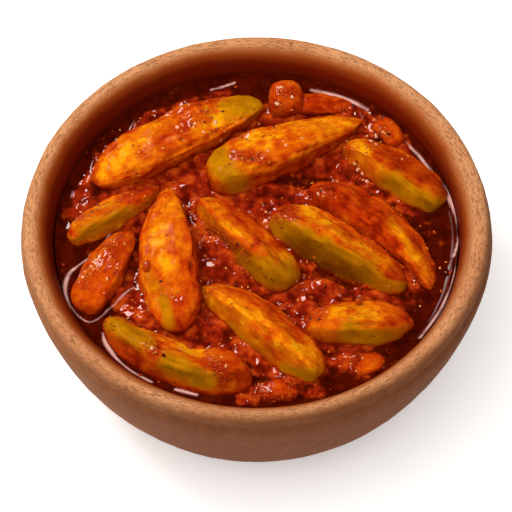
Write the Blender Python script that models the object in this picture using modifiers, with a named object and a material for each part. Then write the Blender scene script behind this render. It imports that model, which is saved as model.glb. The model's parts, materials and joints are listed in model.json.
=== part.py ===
"""A terracotta bowl of mango pickle: soft mango wedges, half sunk in a thick, oily masala."""

import math
import random

import bmesh
import bpy
from mathutils import Euler, Matrix, Vector, bvhtree, noise

MM = 0.001
GAP = 0.4 * MM
SLIVER = 0.01 * MM
SHARP_ANGLE = 50.0

# The bowl, turned about Z and standing on a flat foot.
BOWL_STEPS = 56
RIM_RADIUS = 66.9 * MM
RIM_HEIGHT = 54.0 * MM
RIM_ROUND = 2.1 * MM
RIM_POINTS = 5
RIM_TO = -40.0
GROOVE_RADIUS = 68.6 * MM
GROOVE_HEIGHT = 50.7 * MM
BELLY_RADIUS = 69.95 * MM
BELLY_HEIGHT = 48.0 * MM
BELLY_POWERS = (1.33, 0.52)
FOOT_RADIUS = 44.0 * MM
FOOT_EDGE = 1.2 * MM
WALL = 8.0 * MM
FLOOR = 7.0 * MM
MOUTH_RADIUS = 60.0 * MM
MOUTH_HEIGHT = 41.6 * MM
THROAT_HEIGHT = 44.6 * MM
THROAT_POINTS = 5
OUTSIDE_HEIGHTS = (49.4, 48.0, 44.0, 37.0, 29.0, 21.0, 13.0, 5.5)
INSIDE_STEPS = (0.1, 0.35, 0.65, 1.0)

# The masala that fills the bowl, with heaped clumps and grains on it.
GRAVY_STEPS = 42
GRAVY_RINGS = 10
GRAVY_LEVEL = 44.0 * MM
GRAVY_EDGE_RISE = 0.5 * MM
GRAVY_RIPPLE = 0.45 * MM
GRAVY_RIPPLE_SIZE = 11.0 * MM
GRAIN_COUNT = 44
GRAIN_SMALL = 0.55 * MM
GRAIN_LARGE = 1.15 * MM
GRAIN_SPACING = 3.0 * MM
GRAIN_CLEARANCE = 0.6 * MM
GRAIN_TRIES = 4000
CLUMP_SINK = 0.6 * MM
SEED = 7

# Each clump: centre x and y, length, breadth and height over the level (mm), and its turn (degrees).
CLUMPS = (
    (-21.0, 17.5, 14.0, 8.0, 2.2, 10.0),
    (-50.0, 11.5, 9.0, 6.0, 1.6, 40.0),
    (20.5, -17.0, 9.0, 6.5, 2.0, -15.0),
    (33.0, -16.5, 5.5, 4.0, 1.6, 0.0),
    (-10.5, -5.0, 15.0, 8.0, 3.2, -38.0),
    (14.5, -23.0, 8.0, 9.0, 2.2, 0.0),
    (-12.0, -11.0, 11.0, 7.0, 2.2, -20.0),
    (25.5, 24.0, 6.5, 9.0, 3.0, 20.0),
    (27.5, -41.5, 10.0, 7.0, 2.0, 0.0),
    (46.5, 27.0, 4.5, 4.0, 1.8, 0.0),
    (-14.5, -31.5, 15.0, 8.0, 2.6, -12.0),
    (-39.5, -20.0, 8.0, 7.0, 1.8, 0.0),
    (5.0, 17.5, 9.0, 5.0, 2.0, -10.0),
    (-17.0, 28.0, 6.0, 5.0, 2.4, 30.0),
    (-8.0, -1.0, 6.0, 10.0, 2.2, 0.0),
)

# The mango wedges. Each runs from start to end along its spine (mm). Width and thickness are its
# greatest, tips are the roundness of its two ends (1 pointed, 4 blunt), taper widens it towards
# its end, bend bows it sideways, roll turns it about its spine (degrees), edge squares its
# section and keel narrows its underside.
WEDGE_SIDES = 14
WEDGE_RINGS = 9
SMALL_WEDGE = 10.0
SMALL_SIDES = 10
SMALL_RINGS = 7
WEDGE_DENT = 0.7 * MM
WEDGE_DENT_SIZE = 8.0 * MM
WEDGES = {
    "mango_back_left": dict(
        start=(-48.8, 18.6, 45.4), end=(1.8, 48.4, 45.4), width=18.4, thick=13.0,
        tips=(2.1, 2.7), taper=-0.20, bend=0.6, roll=6.0, edge=3.6, keel=0.40),
    "mango_back_top": dict(
        start=(-14.5, 19.5, 45.2), end=(33.0, 43.0, 44.6), width=18.0, thick=15.0,
        tips=(3.6, 1.6), taper=-0.12, bend=-1.5, roll=16.0, edge=4.2, keel=0.40),
    "mango_right_upper": dict(
        start=(26.0, 32.0, 45.5), end=(55.0, 10.0, 44.0), width=14.0, thick=13.0,
        tips=(2.2, 3.4), taper=0.05, bend=1.0, roll=25.0, edge=4.6, keel=0.45),
    "mango_right_long": dict(
        start=(15.5, 17.5, 44.0), end=(52.0, -19.0, 43.0), width=15.0, thick=12.0,
        tips=(2.4, 1.9), taper=-0.10, bend=5.0, roll=28.0, edge=4.0, keel=0.45),
    "mango_right_middle": dict(
        start=(4.5, 7.0, 45.3), end=(43.5, -18.0, 44.5), width=16.5, thick=14.0,
        tips=(2.6, 2.4), taper=-0.08, bend=-0.5, roll=33.0, edge=4.4, keel=0.40),
    "mango_centre": dict(
        start=(-17.0, 12.5, 45.0), end=(10.5, -17.5, 44.2), width=14.5, thick=13.0,
        tips=(2.1, 3.4), taper=0.08, bend=-0.8, roll=34.0, edge=4.0, keel=0.40),
    "mango_front_middle": dict(
        start=(-16.0, -18.0, 44.8), end=(18.0, -49.0, 44.8), width=15.5, thick=13.5,
        tips=(2.0, 2.5), taper=0.05, bend=0.6, roll=36.0, edge=4.2, keel=0.40),
    "mango_left_upright": dict(
        start=(-26.5, 17.0, 46.0), end=(-22.0, -33.5, 46.0), width=20.0, thick=14.0,
        tips=(1.5, 2.6), taper=0.14, bend=-1.5, roll=-12.0, edge=3.4, keel=0.40),
    "mango_left_red": dict(
        start=(-37.0, 2.5, 44.0), end=(-50.5, -26.5, 44.0), width=14.5, thick=12.0,
        tips=(2.0, 2.8), taper=0.10, bend=0.0, roll=-5.0, edge=3.4, keel=0.40),
    "mango_left_slim": dict(
        start=(-55.5, -2.0, 44.5), end=(-29.0, 17.0, 44.5), width=11.0, thick=10.0,
        tips=(2.6, 1.8), taper=-0.10, bend=-0.3, roll=30.0, edge=4.4, keel=0.40),
    "mango_front_curved": dict(
        start=(-43.0, -29.5, 44.4), end=(-1.5, -47.5, 44.4), width=14.0, thick=12.5,
        tips=(2.6, 3.8), taper=0.10, bend=-6.5, roll=34.0, edge=3.6, keel=0.40),
    "mango_front_right": dict(
        start=(14.5, -32.0, 44.5), end=(46.0, -30.5, 44.0), width=16.5, thick=12.5,
        tips=(2.4, 1.9), taper=0.0, bend=0.0, roll=28.0, edge=4.4, keel=0.40),
    "mango_sunk_right": dict(
        start=(25.5, -47.5, 42.5), end=(38.0, -41.5, 42.0), width=8.0, thick=8.0,
        tips=(2.0, 2.0), taper=0.0, bend=0.0, roll=0.0, edge=2.8, keel=0.6),
    "mango_sunk_front": dict(
        start=(-1.5, -53.0, 42.5), end=(13.0, -53.0, 42.0), width=9.0, thick=8.0,
        tips=(2.0, 2.0), taper=0.0, bend=0.0, roll=0.0, edge=2.8, keel=0.6),
    "mango_chunk_right": dict(
        start=(36.5, 42.5, 43.5), end=(43.5, 33.0, 43.5), width=9.0, thick=9.0,
        tips=(2.8, 2.8), taper=0.0, bend=0.0, roll=0.0, edge=2.8, keel=0.6),
    "mango_back_chunk": dict(
        start=(3.5, 49.0, 45.0), end=(14.0, 49.5, 44.5), width=12.5, thick=13.0,
        tips=(3.2, 3.0), taper=0.0, bend=0.0, roll=0.0, edge=3.4, keel=0.30),
}
# The chunk at the back runs on, low behind the raised wedge, as this slimmer end.
BACK_CHUNK_TAIL = dict(
    start=(9.0, 48.8, 43.0), end=(31.5, 47.3, 42.0), width=9.5, thick=9.5,
    tips=(2.4, 2.2), taper=0.0, bend=0.0, roll=0.0, edge=2.8, keel=0.6)

# Beads of masala that cling to a wedge: centre (mm) and radius (mm) of each.
BEADS = {
    "mango_right_long": ((34.5, 1.0, 49.0, 1.7), (43.4, -8.4, 47.6, 1.2)),
    "mango_left_upright": ((-32.0, -14.5, 51.4, 1.9),),
    "mango_front_right": ((29.7, -25.5, 49.6, 1.6),),
}

CLAY_COLOUR = (0.36, 0.13, 0.055)
GRAVY_COLOUR = (0.16, 0.02, 0.006)
MANGO_COLOUR = (0.75, 0.24, 0.01)
RED_COLOUR = (0.42, 0.06, 0.01)
RED_WEDGES = (
    "mango_left_red", "mango_back_chunk", "mango_chunk_right", "mango_sunk_right", "mango_sunk_front")


def clear_scene():
    for obj in list(bpy.data.objects):
        bpy.data.objects.remove(obj, do_unlink=True)


def collection(name, hidden=False):
    made = bpy.data.collections.new(name)
    made.hide_render = hidden
    bpy.context.scene.collection.children.link(made)
    return made


def material(name, colour, roughness):
    made = bpy.data.materials.new(name)
    made.use_nodes = True
    shader = made.node_tree.nodes["Principled BSDF"]
    shader.inputs["Base Color"].default_value = (*colour, 1.0)
    shader.inputs["Roughness"].default_value = roughness
    made.diffuse_color = (*colour, 1.0)
    return made


def mesh_object(name, mesh, target, surface=None):
    made = bpy.data.objects.new(name, mesh)
    target.objects.link(made)
    if target.hide_render:
        made.display_type = "WIRE"
    if surface:
        mesh.materials.append(surface)
    mesh.shade_smooth()
    return made


def turned(name, profile, steps, target, surface=None):
    """A closed solid turned about Z from (radius, height) points that run down its outer side."""
    mesh = bpy.data.meshes.new(name)
    rail = [(index, index + 1) for index in range(len(profile) - 1)]
    mesh.from_pydata([(radius, 0.0, height) for radius, height in profile], rail, [])
    made = mesh_object(name, mesh, target, surface)
    screw = made.modifiers.new("Turn", "SCREW")
    screw.steps = steps
    screw.render_steps = steps
    screw.use_merge_vertices = True
    screw.merge_threshold = 0.00001
    screw.use_smooth_shade = True
    return made


def applied(made):
    """The object with its modifiers made part of its mesh."""
    graph = bpy.context.evaluated_depsgraph_get()
    mesh = bpy.data.meshes.new_from_object(made.evaluated_get(graph))
    made.modifiers.clear()
    made.data = mesh
    return made


def outer_radius(height):
    """The bowl's body: a foot that swells to the belly, drawn in to a shallow groove under the rim."""
    if height > BELLY_HEIGHT:
        part = (height - BELLY_HEIGHT) / (GROOVE_HEIGHT - BELLY_HEIGHT)
        return BELLY_RADIUS + (GROOVE_RADIUS - BELLY_RADIUS) * part**2
    depth = 1.0 - height / BELLY_HEIGHT
    return FOOT_RADIUS + (BELLY_RADIUS - FOOT_RADIUS) * (1.0 - depth**BELLY_POWERS[0]) ** BELLY_POWERS[1]


def inner_radius(height):
    """The bowl's inside below the mouth. It closes to the axis at the floor."""
    if height >= MOUTH_HEIGHT:
        return MOUTH_RADIUS
    depth = 1.0 - (height - FLOOR) / (MOUTH_HEIGHT - FLOOR)
    reach = outer_radius(height) - WALL
    return min(MOUTH_RADIUS, reach) * (1.0 - max(depth, 0.0) ** 6) ** 0.4


def inner_profile(lift=0.0):
    """Points from the floor's centre up the inside to the mouth, moved in by lift."""
    heights = [FLOOR + (MOUTH_HEIGHT - FLOOR) * part for part in INSIDE_STEPS]
    return [(0.0, FLOOR + lift)] + [(inner_radius(h) - lift, h + lift) for h in heights]


def rim_profile():
    """Points from the throat, up a wide rounded shoulder and over the crest to the groove."""
    points = []
    for index in range(THROAT_POINTS):
        turn = math.radians(90.0 * index / THROAT_POINTS)
        radius = MOUTH_RADIUS + (RIM_RADIUS - MOUTH_RADIUS) * (1.0 - math.cos(turn))
        points.append((radius, THROAT_HEIGHT + (RIM_HEIGHT - THROAT_HEIGHT) * math.sin(turn)))
    for index in range(RIM_POINTS):
        turn = math.radians(90.0 + (RIM_TO - 90.0) * index / (RIM_POINTS - 1))
        points.append(
            (RIM_RADIUS + RIM_ROUND * math.cos(turn), RIM_HEIGHT - RIM_ROUND * (1.0 - math.sin(turn)))
        )
    return points


def bowl(target):
    outside = [(outer_radius(h * MM), h * MM) for h in OUTSIDE_HEIGHTS]
    outside += [(FOOT_RADIUS + FOOT_EDGE, FOOT_EDGE), (FOOT_RADIUS - FOOT_EDGE, 0.0), (0.0, 0.0)]
    clay = material("terracotta", CLAY_COLOUR, 0.75)
    return turned("bowl", inner_profile() + rim_profile() + outside, BOWL_STEPS, target, clay)


def wedge_point(unit, form, swell):
    """Where a point of the unit sphere lies on a wedge, grown by swell. Its poles are the tips."""
    start = Vector(form["start"]) * MM
    end = Vector(form["end"]) * MM
    along = (end - start).normalized()
    aside = Vector((0.0, 0.0, 1.0)).cross(along).normalized()
    upward = along.cross(aside)
    half = (end - start).length / 2 + swell
    tip = form["tips"][1] if unit.z > 0 else form["tips"][0]
    girth = max(1.0 - abs(unit.z) ** tip, 0.0) ** (1.0 / tip)
    flat = math.hypot(unit.x, unit.y)
    power = 2.0 / form["edge"]
    across = math.copysign(abs(unit.x / flat) ** power, unit.x) if flat > 1e-6 else 0.0
    rise = math.copysign(abs(unit.y / flat) ** power, unit.y) if flat > 1e-6 else 0.0
    across *= 1.0 - form["keel"] * (1.0 - rise) / 2
    size = girth * (1.0 + form["taper"] * unit.z)
    middle = (start + end) / 2
    dent = WEDGE_DENT * noise.noise((middle + unit * (half - swell)) / WEDGE_DENT_SIZE)
    across *= size * (form["width"] / 2 * MM + swell + dent)
    rise *= size * (form["thick"] / 2 * MM + swell + dent)
    roll = math.radians(form["roll"])
    across, rise = (
        across * math.cos(roll) + rise * math.sin(roll),
        rise * math.cos(roll) - across * math.sin(roll),
    )
    bow = form["bend"] * MM
    lean = math.atan(-2.0 * bow * unit.z / half)
    distance = unit.z * half - across * math.sin(lean)
    sideways = bow * (1.0 - unit.z**2) + across * math.cos(lean)
    return middle + along * distance + aside * sideways + upward * rise


def wedge(name, form, target, surface=None, swell=0.0):
    mesh = bpy.data.meshes.new(name)
    shape = bmesh.new()
    small = form["width"] < SMALL_WEDGE
    sides, rings = (SMALL_SIDES, SMALL_RINGS) if small else (WEDGE_SIDES, WEDGE_RINGS)
    bmesh.ops.create_uvsphere(shape, u_segments=sides, v_segments=rings, radius=1.0)
    for vertex in shape.verts:
        vertex.co = wedge_point(vertex.co.normalized(), form, swell)
    bmesh.ops.triangulate(shape, faces=shape.faces, quad_method="FIXED")
    shape.to_mesh(mesh)
    shape.free()
    return mesh_object(name, mesh, target, surface)


def combine(made, operation, others):
    """Applies one Boolean of the object with a whole collection, and removes that collection."""
    boolean = made.modifiers.new("Combine", "BOOLEAN")
    boolean.operation = operation
    boolean.operand_type = "COLLECTION"
    boolean.collection = others
    boolean.solver = "MANIFOLD"
    bpy.context.view_layer.update()
    applied(made)
    for obj in list(others.objects):
        bpy.data.objects.remove(obj, do_unlink=True)
    bpy.data.collections.remove(others)


def keep_largest(made):
    """Drops loose scraps, leaving the body with the most faces."""
    shape = bmesh.new()
    shape.from_mesh(made.data)
    bmesh.ops.dissolve_degenerate(shape, edges=shape.edges, dist=SLIVER)
    left = set(shape.faces)
    bodies = []
    while left:
        body = {left.pop()}
        edge = list(body)
        while edge:
            near = {f for e in edge.pop().edges for f in e.link_faces} & left
            left -= near
            body |= near
            edge += near
        bodies.append(body)
    scraps = set().union(*sorted(bodies, key=len)[:-1])
    bmesh.ops.delete(shape, geom=list(scraps), context="FACES")
    bmesh.ops.delete(shape, geom=[v for v in shape.verts if not v.link_faces], context="VERTS")
    shape.to_mesh(made.data)
    shape.free()


def lump(name, centre, axes, turn, target, segments=6, rings=4):
    """A squashed ball."""
    mesh = bpy.data.meshes.new(name)
    shape = bmesh.new()
    place = Matrix.LocRotScale(Vector(centre), turn, Vector(axes))
    bmesh.ops.create_uvsphere(shape, u_segments=segments, v_segments=rings, radius=1.0, matrix=place)
    shape.to_mesh(mesh)
    shape.free()
    return mesh_object(name, mesh, target)


def split_faces(made):
    """Makes every face of the mesh a triangle, so that each is flat."""
    shape = bmesh.new()
    shape.from_mesh(made.data)
    bmesh.ops.triangulate(shape, faces=shape.faces, quad_method="FIXED")
    shape.to_mesh(made.data)
    shape.free()


def gravy_height(x, y):
    """The masala's surface: a slow ripple, drawn up a little against the wall."""
    spot = Vector((x, y, 0.0)) / GRAVY_RIPPLE_SIZE
    edge = (math.hypot(x, y) / MOUTH_RADIUS) ** 12
    return GRAVY_LEVEL + GRAVY_RIPPLE * noise.noise(spot) * (1.0 - edge) + GRAVY_EDGE_RISE * edge


def gravy_fill(target):
    rim = MOUTH_RADIUS - GAP
    top = [(rim * ring / GRAVY_RINGS, GRAVY_LEVEL) for ring in range(GRAVY_RINGS + 1)]
    sides = [point for point in reversed(inner_profile(GAP)) if point[1] < GRAVY_LEVEL - GAP]
    made = turned("gravy", top + sides, GRAVY_STEPS, target, material("gravy", GRAVY_COLOUR, 0.25))
    applied(made)
    for vertex in made.data.vertices:
        if vertex.co.z > GRAVY_LEVEL - GAP:
            vertex.co.z = gravy_height(vertex.co.x, vertex.co.y)
    split_faces(made)
    return made


def add_clumps(target):
    for index, (x, y, length, breadth, height, turn) in enumerate(CLUMPS):
        base = GRAVY_LEVEL - CLUMP_SINK
        spin = Euler((0.0, 0.0, math.radians(turn)))
        axes = (length / 2 * MM, breadth / 2 * MM, height * MM + CLUMP_SINK)
        lump(f"clump_{index}", (x * MM, y * MM, base), axes, spin, target, segments=9, rings=5)


def add_grains(target, trees):
    """Grains scattered where they stay clear of every wedge, half sunk in the surface."""
    draw = random.Random(SEED)
    placed = []
    for _ in range(GRAIN_TRIES):
        if len(placed) == GRAIN_COUNT:
            break
        size = draw.uniform(GRAIN_SMALL, GRAIN_LARGE)
        reach = (MOUTH_RADIUS - 3 * MM) * math.sqrt(draw.random())
        turn = draw.uniform(0.0, 2.0 * math.pi)
        x, y = reach * math.cos(turn), reach * math.sin(turn)
        centre = Vector((x, y, gravy_height(x, y) + 0.2 * size))
        if any((centre - other).length < GRAIN_SPACING for other in placed):
            continue
        if any(tree.find_nearest(centre)[3] < size + GRAIN_CLEARANCE for tree in trees):
            continue
        if any(inside(centre, tree) for tree in trees):
            continue
        placed.append(centre)
        axes = (size * draw.uniform(0.9, 1.4), size, size * draw.uniform(0.7, 1.0))
        spin = Euler((draw.uniform(0.0, 0.5), draw.uniform(0.0, 0.5), draw.uniform(0.0, 6.3)))
        lump(f"grain_{len(placed)}", centre, axes, spin, target)


def inside(point, tree):
    """Whether the point is within the closed mesh: its nearest face looks away from it."""
    near, normal, _, _ = tree.find_nearest(point)
    return (point - near).dot(normal) < 0.0


def gravy(target, forms):
    """The fill with its clumps and grains fused on, cut clear of every wedge."""
    cutters = collection("wedge_hollows", hidden=True)
    extras = collection("gravy_extras", hidden=True)
    trees = []
    for name, form in forms:
        grown = wedge("hollow_" + name, form, cutters, swell=GAP)
        points = [vertex.co for vertex in grown.data.vertices]
        trees.append(bvhtree.BVHTree.FromPolygons(points, [f.vertices for f in grown.data.polygons]))
    made = gravy_fill(target)
    add_clumps(extras)
    add_grains(extras, trees)
    combine(made, "UNION", extras)
    combine(made, "DIFFERENCE", cutters)
    keep_largest(made)
    made.data.shade_smooth()
    made.data.set_sharp_from_angle(angle=math.radians(SHARP_ANGLE))
    return made


def beads(name, target):
    for index, (x, y, z, radius) in enumerate(BEADS[name]):
        size = radius * MM
        lump(f"bead_{index}", (x * MM, y * MM, z * MM), (size, size, size), Euler(), target)


def mango(name, form, target):
    """A wedge with the beads that cling to it, or with its low tail, fused on."""
    made = wedge(name, form, target, material(name, RED_COLOUR if name in RED_WEDGES else MANGO_COLOUR, 0.3))
    if name not in BEADS and name != "mango_back_chunk":
        return
    extras = collection("extras_" + name, hidden=True)
    if name in BEADS:
        beads(name, extras)
    else:
        wedge("tail", BACK_CHUNK_TAIL, extras)
    combine(made, "UNION", extras)


def main():
    clear_scene()
    parts = collection("mango_pickle_bowl")
    bowl(parts)
    for name, form in WEDGES.items():
        mango(name, form, parts)
    gravy(parts, list(WEDGES.items()) + [("tail", BACK_CHUNK_TAIL)])


main()
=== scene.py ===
"""The looks of a terracotta bowl of mango pickle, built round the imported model."""

import json
import math
from collections import namedtuple

import bpy
import numpy as np
from mathutils import Matrix, Vector, noise
from mathutils.bvhtree import BVHTree


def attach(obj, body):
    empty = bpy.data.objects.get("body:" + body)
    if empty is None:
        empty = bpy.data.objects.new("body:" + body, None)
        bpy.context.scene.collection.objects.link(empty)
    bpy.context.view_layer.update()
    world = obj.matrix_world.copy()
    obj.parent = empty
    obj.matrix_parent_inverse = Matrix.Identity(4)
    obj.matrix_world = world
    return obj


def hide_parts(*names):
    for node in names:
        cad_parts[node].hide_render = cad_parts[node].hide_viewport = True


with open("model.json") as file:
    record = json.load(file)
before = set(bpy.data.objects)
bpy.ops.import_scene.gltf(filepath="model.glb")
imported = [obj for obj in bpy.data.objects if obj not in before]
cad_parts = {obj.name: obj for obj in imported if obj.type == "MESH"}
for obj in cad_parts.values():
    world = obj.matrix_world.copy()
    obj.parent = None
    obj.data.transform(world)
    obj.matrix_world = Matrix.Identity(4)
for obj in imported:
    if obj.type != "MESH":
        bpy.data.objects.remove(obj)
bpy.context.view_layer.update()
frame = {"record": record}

MM = 0.001
TURN = 2.0 * math.pi
SEED = 11

# The camera: where it stands, what it looks at (m), its focal length and the photo's side (pixels), and its
# sensor. The floor's side (mm) reaches past the view.
CAMERA_AT = (0.0, -0.4445, 0.7148)
CAMERA_AIM = (-0.00015, -0.00734, 0.0456)
FOCAL = 2708.0
PICTURE = 512.0
SENSOR = 36.0
FLOOR_SIDE = 6000.0

# The bowl, as in the model (mm).
RIM_RADIUS = 66.9
RIM_HEIGHT = 54.0
RIM_ROUND = 2.1
RIM_TO = -40.0
GROOVE_RADIUS = 68.6
GROOVE_HEIGHT = 50.7
BELLY_RADIUS = 69.95
BELLY_HEIGHT = 48.0
BELLY_POWERS = (1.33, 0.52)
FOOT_RADIUS = 44.0
FOOT_EDGE = 1.2
WALL = 8.0
FLOOR = 7.0
MOUTH_RADIUS = 60.0
MOUTH_HEIGHT = 41.6
THROAT_HEIGHT = 44.6

# The masala's surface (mm).
LEVEL = 44.0
EDGE_RISE = 0.5
RIPPLE = 0.45
RIPPLE_SIZE = 11.0
CLUMP_SINK = 0.6
WALL_GAP = 0.25
HIGHEST = 53.95

# How finely the pieces are meshed: steps round the bowl, cells across the masala, and mm on a wedge.
BOWL_STEPS = 400
BED_CELLS = 296
WEDGE_SPACING = 0.42

# The strewn grains: how many places are tried, how often one on a wedge is a dark fleck, and the half
# size of a pale spot (mm for each pixel of its radius).
PLACES_TRIED = 30000
FLECK_CHANCE = 0.090
PALE_SIZE = 0.27

# Each mango wedge, as in the model (mm, degrees): its two ends, its size, how blunt its tips are, how
# square its edges are, and how it tapers, bends, rolls and narrows towards its underside. The tail is the
# low end of mango_back_chunk.
Form = namedtuple("Form", "start end width thick tips edge taper bend roll keel", defaults=(0.40,))
FORMS = {
    "mango_back_left": ((-48.8, 18.6, 45.4), (1.8, 48.4, 45.4), 18.4, 13.0, (2.1, 2.7), 3.6, -0.20, 0.6, 6.0),
    "mango_back_top": ((-14.5, 19.5, 45.2), (33.0, 43.0, 44.6), 18.0, 15.0, (3.6, 1.6), 4.2, -0.12, -1.5, 16.0),
    "mango_right_upper": ((26.0, 32.0, 45.5), (55.0, 10.0, 44.0), 14.0, 13.0, (2.2, 3.4), 4.6, 0.05, 1.0, 25.0, 0.45),
    "mango_right_long": ((15.5, 17.5, 44.0), (52.0, -19.0, 43.0), 15.0, 12.0, (2.4, 1.9), 4.0, -0.10, 5.0, 28.0, 0.45),
    "mango_right_middle": ((4.5, 7.0, 45.3), (43.5, -18.0, 44.5), 16.5, 14.0, (2.6, 2.4), 4.4, -0.08, -0.5, 33.0),
    "mango_centre": ((-17.0, 12.5, 45.0), (10.5, -17.5, 44.2), 14.5, 13.0, (2.1, 3.4), 4.0, 0.08, -0.8, 34.0),
    "mango_front_middle": ((-16.0, -18.0, 44.8), (18.0, -49.0, 44.8), 15.5, 13.5, (2.0, 2.5), 4.2, 0.05, 0.6, 36.0),
    "mango_left_upright": ((-26.5, 17.0, 46.0), (-22.0, -33.5, 46.0), 20.0, 14.0, (1.5, 2.6), 3.4, 0.14, -1.5, -12.0),
    "mango_left_red": ((-37.0, 2.5, 44.0), (-50.5, -26.5, 44.0), 14.5, 12.0, (2.0, 2.8), 3.4, 0.10, 0.0, -5.0),
    "mango_left_slim": ((-55.5, -2.0, 44.5), (-29.0, 17.0, 44.5), 11.0, 10.0, (2.6, 1.8), 4.4, -0.10, -0.3, 30.0),
    "mango_front_curved": ((-43.0, -29.5, 44.4), (-1.5, -47.5, 44.4), 14.0, 12.5, (2.6, 3.8), 3.6, 0.10, -6.5, 34.0),
    "mango_front_right": ((14.5, -32.0, 44.5), (46.0, -30.5, 44.0), 16.5, 12.5, (2.4, 1.9), 4.4, 0.0, 0.0, 28.0),
    "mango_sunk_right": ((25.5, -47.5, 42.5), (38.0, -41.5, 42.0), 8.0, 8.0, (2.0, 2.0), 2.8, 0.0, 0.0, 0.0, 0.6),
    "mango_sunk_front": ((-1.5, -53.0, 42.5), (13.0, -53.0, 42.0), 9.0, 8.0, (2.0, 2.0), 2.8, 0.0, 0.0, 0.0, 0.6),
    "mango_chunk_right": ((36.5, 42.5, 43.5), (43.5, 33.0, 43.5), 9.0, 9.0, (2.8, 2.8), 2.8, 0.0, 0.0, 0.0, 0.6),
    "mango_back_chunk": ((3.5, 49.0, 45.0), (14.0, 49.5, 44.5), 12.5, 13.0, (3.2, 3.0), 3.4, 0.0, 0.0, 0.0, 0.30),
    "tail": ((9.0, 48.8, 43.0), (31.5, 47.3, 42.0), 9.5, 9.5, (2.4, 2.2), 2.8, 0.0, 0.0, 0.0, 0.6),
}
WEDGES = {name: Form(*row) for name, row in FORMS.items()}
# Seed-like beads on the wedges: place, radius and stretch.
BEADS = {
    "mango_right_long": ((34.5, 1.0, 49.0, 1.7, 1.0), (43.4, -8.4, 47.6, 1.2, 1.5)),
    "mango_left_upright": ((-32.0, -14.5, 51.4, 1.9, 1.5),),
    "mango_front_right": ((29.7, -25.5, 49.6, 1.6, 1.0),),
}

# What each wedge looks like away from its strokes: coat, green and bright, on its top, on the side
# towards the photo's camera and on the side away from it. The brighter tops are partly painted light.
PLAIN = {
    "mango_back_left": ((0.22, 0.0, 0.28), (0.24, 0.0, 0.20), (0.75, 0.0, 0.0)),
    "mango_back_top": ((0.30, 0.0, 0.38), (0.20, 0.0, 0.05), (0.60, 0.0, 0.1)),
    "mango_right_upper": ((0.36, 0.1, 0.24), (0.15, 0.35, 0.35), (1.0, 0.0, 0.0)),
    "mango_right_long": ((0.60, 0.0, 0.08), (0.65, 0.0, 0.0), (0.70, 0.0, 0.0)),
    "mango_right_middle": ((0.50, 0.0, 0.15), (0.20, 0.8, 0.0), (0.65, 0.0, 0.0)),
    "mango_centre": ((0.50, 0.0, 0.12), (0.25, 0.5, 0.0), (0.60, 0.0, 0.0)),
    "mango_front_middle": ((0.35, 0.0, 0.18), (0.18, 0.30, 0.35), (0.55, 0.1, 0.0)),
    "mango_left_upright": ((0.20, 0.0, 0.38), (0.45, 0.1, 0.0), (0.60, 0.0, 0.0)),
    "mango_left_red": ((0.48, 0.0, 0.05), (0.55, 0.0, 0.05), (0.60, 0.0, 0.0)),
    "mango_left_slim": ((0.42, 0.0, 0.18), (0.05, 0.35, 0.65), (0.60, 0.0, 0.0)),
    "mango_front_curved": ((0.42, 0.1, 0.12), (0.45, 0.25, 0.10), (0.85, 0.0, 0.0)),
    "mango_front_right": ((0.42, 0.1, 0.20), (0.20, 0.45, 0.30), (0.75, 0.0, 0.0)),
    "mango_sunk_right": ((0.70, 0.0, 0.0), (0.8, 0.0, 0.0), (0.8, 0.0, 0.0)),
    "mango_sunk_front": ((0.90, 0.0, 0.0), (0.95, 0.0, 0.0), (0.9, 0.0, 0.0)),
    "mango_chunk_right": ((0.60, 0.0, 0.0), (0.60, 0.0, 0.0), (0.7, 0.0, 0.0)),
    "mango_back_chunk": ((0.30, 0.0, 0.05), (0.32, 0.0, 0.0), (0.6, 0.0, 0.0)),
    "tail": ((0.70, 0.0, 0.0), (0.85, 0.0, 0.0), (0.9, 0.0, 0.0)),
}
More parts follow.
